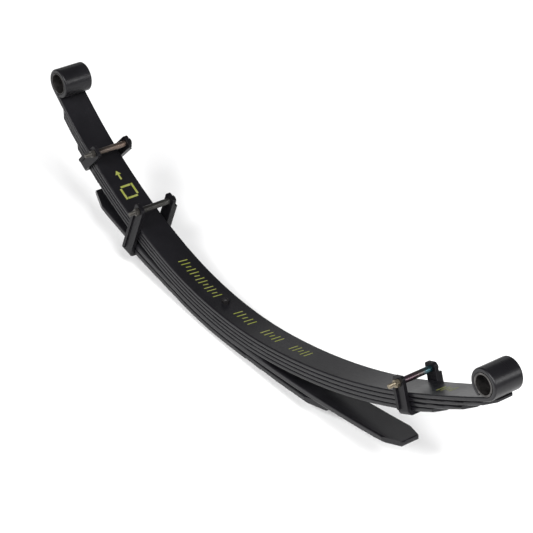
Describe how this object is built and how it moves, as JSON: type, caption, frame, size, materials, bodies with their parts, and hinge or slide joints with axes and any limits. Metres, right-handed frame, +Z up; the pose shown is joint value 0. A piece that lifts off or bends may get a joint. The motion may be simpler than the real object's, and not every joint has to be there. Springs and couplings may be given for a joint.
{
  "type": "leaf spring",
  "caption": "Multi-leaf rear suspension spring: stacked curved steel leaves with rolled eyes, flatter overload leaves, a centre bolt and riveted strap clips with spacer sleeves",
  "frame": {"origin": "on the centre bolt's axis, at the underside of the clamped pack, where the locating head starts", "axes": "+X along the spring towards the rear eye, +Y along the eyes' axis, +Z up, the way both arms curve"},
  "size_m": [1.2531, 0.103, 0.3693],
  "materials": {
    "leaf_paint": "satin black paint on rolled spring steel",
    "clip_paint": "satin black paint",
    "liner_steel": "bare steel, dull and lightly oiled",
    "black_bolt": "black oxide",
    "zinc_bolt": "yellow-passivated zinc, partly painted over",
    "front_sleeve": "bronze-toned zinc plating",
    "middle_sleeve": "grey-olive zinc plating",
    "rear_sleeve": "iridescent zinc plating"
  },
  "bodies": {
    "spring_pack": {"main_leaf": "leaf_paint", "second_leaf": "leaf_paint", "third_leaf": "leaf_paint", "fourth_leaf": "leaf_paint", "overload_leaf_long": "leaf_paint", "overload_leaf_short": "leaf_paint", "front_eye_liner": "liner_steel", "rear_eye_liner": "liner_steel", "centre_bolt": "black_bolt", "centre_nut": "black_bolt", "front_clip_strap": "clip_paint", "front_clip_rivet": "clip_paint", "middle_clip_strap": "clip_paint", "middle_clip_rivet": "clip_paint", "rear_clip_strap": "clip_paint", "rear_clip_rivet": "clip_paint", "front_clip_bolt": "zinc_bolt", "front_clip_nut": "zinc_bolt", "middle_clip_bolt": "zinc_bolt", "middle_clip_nut": "zinc_bolt", "rear_clip_bolt": "zinc_bolt", "rear_clip_nut": "zinc_bolt"},
    "front_clip_roller": {"front_clip_sleeve": "front_sleeve"},
    "middle_clip_roller": {"middle_clip_sleeve": "middle_sleeve"},
    "rear_clip_roller": {"rear_clip_sleeve": "rear_sleeve"}
  },
  "joints": [
    {"name": "front_clip_sleeve_spin", "type": "hinge", "parent": "spring_pack", "child": "front_clip_roller", "pos_m": [-0.37802, 0, 0.18406], "axis": [0, 1, 0], "continuous": true},
    {"name": "middle_clip_sleeve_spin", "type": "hinge", "parent": "spring_pack", "child": "middle_clip_roller", "pos_m": [-0.22927, 0, 0.13706], "axis": [0, 1, 0], "continuous": true},
    {"name": "rear_clip_sleeve_spin", "type": "hinge", "parent": "spring_pack", "child": "rear_clip_roller", "pos_m": [0.50368, 0, 0.22348], "axis": [0, 1, 0], "continuous": true}
  ]
}
